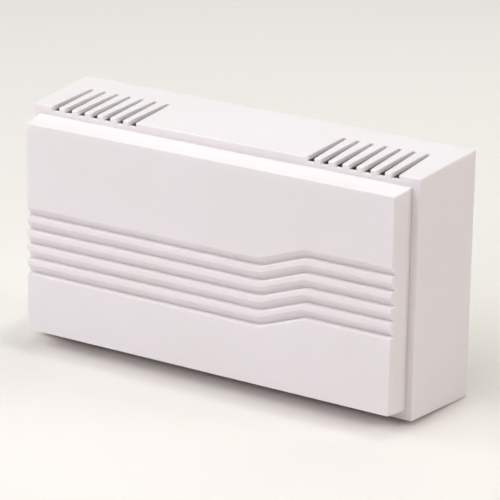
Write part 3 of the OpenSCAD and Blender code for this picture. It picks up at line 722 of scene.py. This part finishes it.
@dataclass
class Solenoid:
    """A door's coil: bobbin, winding, tape and yoke.

    The winding's wire is drawn coarser than it is, to show. The core under the turns begins a share of
    the wire's width in from their outside.
    """

    door: Door
    wire: float = 0.45 * MM
    wire_sides: int = 8
    turn_steps: int = 36
    core_share: float = 0.6
    core_edge_steps: int = 2
    film: float = 0.12 * MM
    lap_angle: float = math.radians(50)
    tape_steps: int = 96

    def build(self) -> None:
        """Dresses the rigid pieces and makes the wound ones."""
        dress(NATURAL_NYLON, self.door.node("bobbin"))
        dress(YOKE_STEEL, self.door.node("yoke"))
        self.winding()
        self.tape()

    def winding(self) -> Object:
        """The outer layer of turns over the layers beneath it, as one closed coil and a core.

        Returns:
            The winding.
        """
        node = self.door.node("winding")
        low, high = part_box(node)
        axis, radius = middle(node), (high.z - low.z) / 2
        length = high.x - low.x
        turns = math.floor(length / self.wire) - 1
        start = Vector((low.x + (length + turns * self.wire) / 2, axis.y, axis.z))
        coil = helix(start, radius - self.wire / 2, self.wire, self.wire, turns, self.turn_steps,
                     self.wire_sides)
        deselect()
        bpy.ops.mesh.primitive_cylinder_add(
            vertices=self.turn_steps, radius=radius - self.wire * self.core_share, depth=length,
            location=axis, rotation=(0, TAU / 4, 0))
        core = bpy.context.object
        bpy.ops.object.mode_set(mode="EDIT")
        bpy.ops.mesh.bevel(offset=self.wire / 2, segments=self.core_edge_steps, affect="EDGES")
        bpy.ops.object.mode_set(mode="OBJECT")
        coil.select_set(True)
        bpy.context.view_layer.objects.active = core
        bpy.ops.object.join()
        piece = settle(core, self.door.node("winding_turns"), WINDING_WIRE)
        return mount(piece, Body.BASE, "copper", node)

    def tape(self) -> Object:
        """A wrap of tape whose end laps over its start.

        Returns:
            The tape.
        """
        node = self.door.node("tape")
        low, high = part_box(node)
        axis, radius = middle(node), (high.z - low.z) / 2
        deselect()
        bpy.ops.mesh.primitive_plane_add(size=1, location=axis)
        wrap = bpy.context.object
        bpy.ops.object.mode_set(mode="EDIT")
        bpy.ops.mesh.select_all(action="SELECT")
        bpy.ops.mesh.delete(type="ONLY_FACE")
        bpy.ops.object.mode_set(mode="OBJECT")
        for vertex in wrap.data.vertices:
            vertex.co = ((high.x - low.x) * math.copysign(0.5, vertex.co.x), 0, radius - 2 * self.film)
        bpy.ops.object.mode_set(mode="EDIT")
        bpy.ops.mesh.select_all(action="SELECT")
        bpy.ops.mesh.remove_doubles(threshold=WELD)
        bpy.ops.mesh.spin(steps=self.tape_steps, angle=TAU + self.lap_angle, center=axis, axis=(1, 0, 0))
        bpy.ops.object.mode_set(mode="OBJECT")
        return self.finish_tape(wrap, node)

    def finish_tape(self, wrap: Object, node: str) -> Object:
        """Winds the wrap outwards by one thickness a turn, and makes it solid.

        Args:
            wrap: The wrap as a thin skin, in the order that it was spun.
            node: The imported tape.

        Returns:
            The finished tape.
        """
        rows = len(wrap.data.vertices) // 2
        for i, vertex in enumerate(wrap.data.vertices):
            share = (i // 2) / rows
            out = Vector((0, vertex.co.y, vertex.co.z)).normalized()
            vertex.co += out * self.film * share * (1 + self.lap_angle / TAU)
        solid = wrap.modifiers.new("thickness", "SOLIDIFY")
        solid.thickness = self.film
        solid.offset = -1
        bpy.ops.object.modifier_apply(modifier=solid.name)
        piece = settle(wrap, self.door.node("tape_wrap"), COIL_TAPE)
        return mount(piece, Body.BASE, "tape", node)


@dataclass
class Plunger:
    """What a coil pulls: core, rods and clip, with the spring that brings it back."""

    door: Door
    rods: tuple[str, ...]
    turns: int = 9
    wire: float = 0.6 * MM
    turn_steps: int = 40
    sides: int = 12

    def build(self) -> None:
        """Dresses the rigid pieces and winds the spring."""
        dress(CORE_STEEL, self.door.node("core"))
        dress(NATURAL_NYLON, *self.rods)
        dress(WIRE_STEEL, self.door.node("spring_clip"))
        self.spring()

    def spring(self) -> Object:
        """The return spring, which closes up evenly between the yoke and the clip.

        Returns:
            The spring.
        """
        node = self.door.node("spring")
        low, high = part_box(node)
        axis = middle(node)
        radius = (high.z - low.z - self.wire) / 2
        seat, end = high.x - self.wire / 2, low.x + self.wire / 2
        start = Vector((seat, axis.y, axis.z))
        coil = helix(start, radius, self.wire, (seat - end) / self.turns, self.turns,
                     self.turn_steps, self.sides)
        piece = settle(coil, self.door.node("spring_wire"), WIRE_STEEL)
        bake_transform(piece, Body.BASE.value, self.door.plunger.value, start=(high.x, axis.y, axis.z),
                 end=(low.x, axis.y, axis.z))
        shares = piece.data.attributes["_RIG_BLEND"].data
        for vertex, share in zip(piece.data.vertices, shares):
            share.value = min(max((high.x - vertex.co.x) / (high.x - low.x), 0), 1)
        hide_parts(node)
        log.info("%s between yoke and clip", piece.name)
        return piece


# The routes of the leads in millimetres, from the coil's flange to the solder tag, as in the part's source
FRONT_ROUTES: dict[str, Route] = {
    "low": [(-15, -16.8, 6.8), (-19, -16.8, 6.8), (-24, -16, 2), (-25, -15, -10), (-24, -15, -24),
            (-19, -15, -33), (-13, -14.6, -38.5)],
    "common": [(15, -16.8, 6.8), (19, -16.8, 6.8), (24, -16, 2), (25, -15, -10), (24, -15, -24),
               (19, -15, -33), (14.5, -14.6, -38.5)],
}
REAR_ROUTES: dict[str, Route] = {
    "low": [(-15, -16.8, -21.2), (-19, -16.8, -21.2), (-20, -16, -25), (-13, -15, -32), (-3, -15, -36),
            (0, -14.6, -38.5)],
    "common": [(15, -16.8, -21.2), (19, -16.8, -21.2), (20, -16, -25), (16, -15, -31), (12.5, -15, -36),
               (11.5, -14.6, -38.5)],
}


@dataclass
class Leads:
    """A door's two lead wires, from its coil to the terminals.

    Of the points along a wire, the last few are bare, and the conductor starts a few inside the insulation.
    """

    door: Door
    routes: dict[str, Route]
    diameter: float = 1.4 * MM
    rings: int = 6
    steps: int = 10
    bare: int = 5
    tuck: int = 2
    conductor: float = 0.7 * MM
    conductor_rings: int = 4
    drop: Vector = field(default_factory=lambda: Vector((1.9, 2.4, 2.1)) * MM)
    drop_sides: int = 24
    drop_rings: int = 16
    foot: float = 1.4
    tags: str = "terminal_plates"

    def build(self) -> None:
        """Makes each wire with a bare end in a drop of solder."""
        for name, route in self.routes.items():
            line = smooth_route(route, self.steps)
            cut = len(line) - self.bare
            insulation = tube(line[:cut], self.diameter, self.rings)
            piece = settle(insulation, self.door.node(f"{name}_lead"), INSULATION[self.door])
            mount(piece, Body.BASE, self.door.node("wire"), self.door.node("leads"))
            copper = tube(line[cut - self.tuck:], self.conductor, self.conductor_rings)
            drop = self.solder(line[-1])
            copper.select_set(True)
            bpy.ops.object.join()
            piece = settle(drop, self.door.node(f"{name}_lead_end"), SOLDER)
            mount(piece, Body.BASE, None)

    def solder(self, end: Vector) -> Object:
        """A drop of solder round a wire's end, which runs out flat on its tag.

        Args:
            end: The wire's end.

        Returns:
            The drop, selected and active.
        """
        inwards = Vector((0, 1, 0))
        _, tag, *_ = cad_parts[self.tags].ray_cast(end - inwards, inwards)
        deselect()
        bpy.ops.mesh.primitive_uv_sphere_add(segments=self.drop_sides, ring_count=self.drop_rings,
                                             radius=1 / 2, location=tag)
        drop = bpy.context.object
        drop.scale = self.drop
        bpy.ops.object.transform_apply(location=True, scale=True)
        bpy.ops.object.mode_set(mode="EDIT")
        bpy.ops.mesh.select_all(action="SELECT")
        bpy.ops.mesh.bisect(plane_co=tag, plane_no=inwards, use_fill=True, clear_outer=True)
        bpy.ops.transform.resize(value=(self.foot, 1, self.foot))
        bpy.ops.object.mode_set(mode="OBJECT")
        return drop


@dataclass
class Terminals:
    """The block with its plates and clamps, and the screws of the base."""

    def build(self) -> None:
        """Dresses each piece."""
        dress(BLOCK_UREA, "terminal_block")
        dress(BRASS, "terminal_plates", "terminal_clamps", "terminal_screws")
        dress(SCREW_STEEL, "chassis_screws", "block_screws")


@dataclass
class ReturnStop:
    """The felt that the rear plunger comes back onto."""

    node: str = "return_felt"
    sides: int = 48
    edge: float = 0.5 * MM
    edge_steps: int = 4
    nap: float = 0.12 * MM
    nap_cuts: int = 3

    def build(self) -> Object:
        """A disc with soft edges and a matted skin.

        Returns:
            The pad.
        """
        low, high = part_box(self.node)
        deselect()
        bpy.ops.mesh.primitive_cylinder_add(
            vertices=self.sides, radius=(high.z - low.z) / 2, depth=high.x - low.x,
            location=middle(self.node), rotation=(0, TAU / 4, 0))
        pad = bpy.context.object
        bpy.ops.object.mode_set(mode="EDIT")
        bpy.ops.mesh.select_all(action="SELECT")
        bpy.ops.mesh.bevel(offset=self.edge, segments=self.edge_steps, affect="EDGES")
        bpy.ops.mesh.select_all(action="SELECT")
        bpy.ops.mesh.poke()
        bpy.ops.mesh.subdivide(number_cuts=self.nap_cuts)
        bpy.ops.transform.vertex_random(offset=self.nap, normal=1, seed=1)
        bpy.ops.object.mode_set(mode="OBJECT")
        piece = settle(pad, "felt_pad", STOP_FELT)
        return mount(piece, Body.BASE, "felt", self.node)


# Studio


def around(azimuth: float, elevation: float, distance: float) -> Vector:
    """A place round the middle of the part.

    Args:
        azimuth: Degrees from straight ahead, positive to the right.
        elevation: Degrees above the level.
        distance: How far off the place is.

    Returns:
        The place, from the middle.
    """
    turn, rise = math.radians(azimuth), math.radians(elevation)
    level = math.cos(rise)
    return distance * Vector((math.sin(turn) * level, -math.cos(turn) * level, math.sin(rise)))


@dataclass(frozen=True)
class Lamp:
    """A soft box that faces the part: its place, power, size and colour, and whether gloss mirrors it."""

    name: str
    azimuth: float
    elevation: float
    power: float
    distance: float = 1.6
    size: tuple[float, float] = (1.0, 1.0)
    shade: str = "#ffffff"
    mirrored: bool = True

    def build(self, faces: Vector) -> None:
        """Sets the lamp up.

        Args:
            faces: The place that it faces.
        """
        data = bpy.data.lights.new(self.name, "AREA")
        data.shape = "RECTANGLE"
        data.size, data.size_y = self.size
        data.energy = self.power
        data.color = linear(self.shade)[:3]
        lamp = bpy.data.objects.new(self.name, data)
        bpy.context.scene.collection.objects.link(lamp)
        back = around(self.azimuth, self.elevation, self.distance)
        lamp.location = faces + back
        lamp.visible_glossy = self.mirrored
        lamp.rotation_euler = (-back).to_track_quat("-Z", "Y").to_euler()


@dataclass
class Studio:
    """The pale floor, the lamps and the camera at the photograph's angle."""

    azimuth: float = 32.007
    elevation: float = 18.873
    roll: float = 0.897
    distance: float = 1323.2 * MM
    target: Vector = field(default_factory=lambda: Vector((16.3, -44.6, 7.1)) * MM)
    lens: float = 219.3
    sensor: float = 36.0
    floor_radius: float = 8.0
    floor_sides: int = 96
    sky_shade: str = "#f6f2f8"
    sky_strength: float = 0.04
    lit_point: Vector = field(default_factory=lambda: Vector((0, -30, 0)) * MM)
    lamps: tuple[Lamp, ...] = (
        Lamp("overhead", azimuth=135, elevation=86, power=2.7, distance=1.2, size=(0.1, 0.1),
             shade="#fafffa", mirrored=False),
        Lamp("front_low_fill", azimuth=-25, elevation=30, power=8.15, shade="#f0f0ff"),
        Lamp("front_high_fill", azimuth=0, elevation=60, power=7.2),
        Lamp("left_fill", azimuth=-70, elevation=35, power=9.6),
        Lamp("right_fill", azimuth=102, elevation=35, power=9.9, shade="#fff6f7"),
        Lamp("back_light", azimuth=180, elevation=60, power=6.5, shade="#f6fff8"),
    )

    def build(self) -> None:
        """Sets everything up."""
        bpy.context.scene.view_settings.view_transform = "Standard"
        self.floor()
        self.sky()
        for lamp in self.lamps:
            lamp.build(self.lit_point)
        self.camera()

    def floor(self) -> None:
        """A wide disc of paper under the lowest edge of the part."""
        deselect()
        bpy.ops.mesh.primitive_circle_add(vertices=self.floor_sides, radius=self.floor_radius,
                                          fill_type="NGON", location=(0, 0, cad_box[0].z))
        settle(bpy.context.object, "paper_floor", FLOOR_PAPER)

    def sky(self) -> None:
        """Faint, even light from all round."""
        world = bpy.data.worlds.new("studio")
        world.use_nodes = True
        tree = world.node_tree
        tree.nodes.clear()
        light = add_node(tree, "ShaderNodeBackground", {
            "Color": linear(self.sky_shade), "Strength": self.sky_strength})
        add_node(tree, "ShaderNodeOutputWorld", {"Surface": light.outputs["Background"]})
        bpy.context.scene.world = world

    def camera(self) -> None:
        """The camera, turned and rolled as the photograph's was."""
        back = around(self.azimuth, self.elevation, self.distance)
        data = bpy.data.cameras.new("camera")
        data.lens = self.lens
        data.sensor_width = self.sensor
        camera = bpy.data.objects.new("camera", data)
        bpy.context.scene.collection.objects.link(camera)
        level = (-back).to_track_quat("-Z", "Y").to_matrix().to_4x4()
        camera.matrix_world = (Matrix.Translation(self.target + back) @ level
                               @ Matrix.Rotation(math.radians(self.roll), 4, "Z"))
        bpy.context.scene.camera = camera


def main() -> None:
    """Builds the studio and the chime's sub-assemblies."""
    logging.basicConfig(level=logging.INFO, format="%(message)s")
    Studio().build()
    for part in (
        Shell(),
        ToneBars(),
        Solenoid(Door.FRONT),
        Solenoid(Door.REAR),
        Plunger(Door.FRONT, ("front_low_striker", "front_high_striker")),
        Plunger(Door.REAR, ("rear_high_striker", "rear_tail")),
        Leads(Door.FRONT, FRONT_ROUTES),
        Leads(Door.REAR, REAR_ROUTES),
        Terminals(),
        ReturnStop(),
    ):
        part.build()


if __name__ == "__main__":
    main()
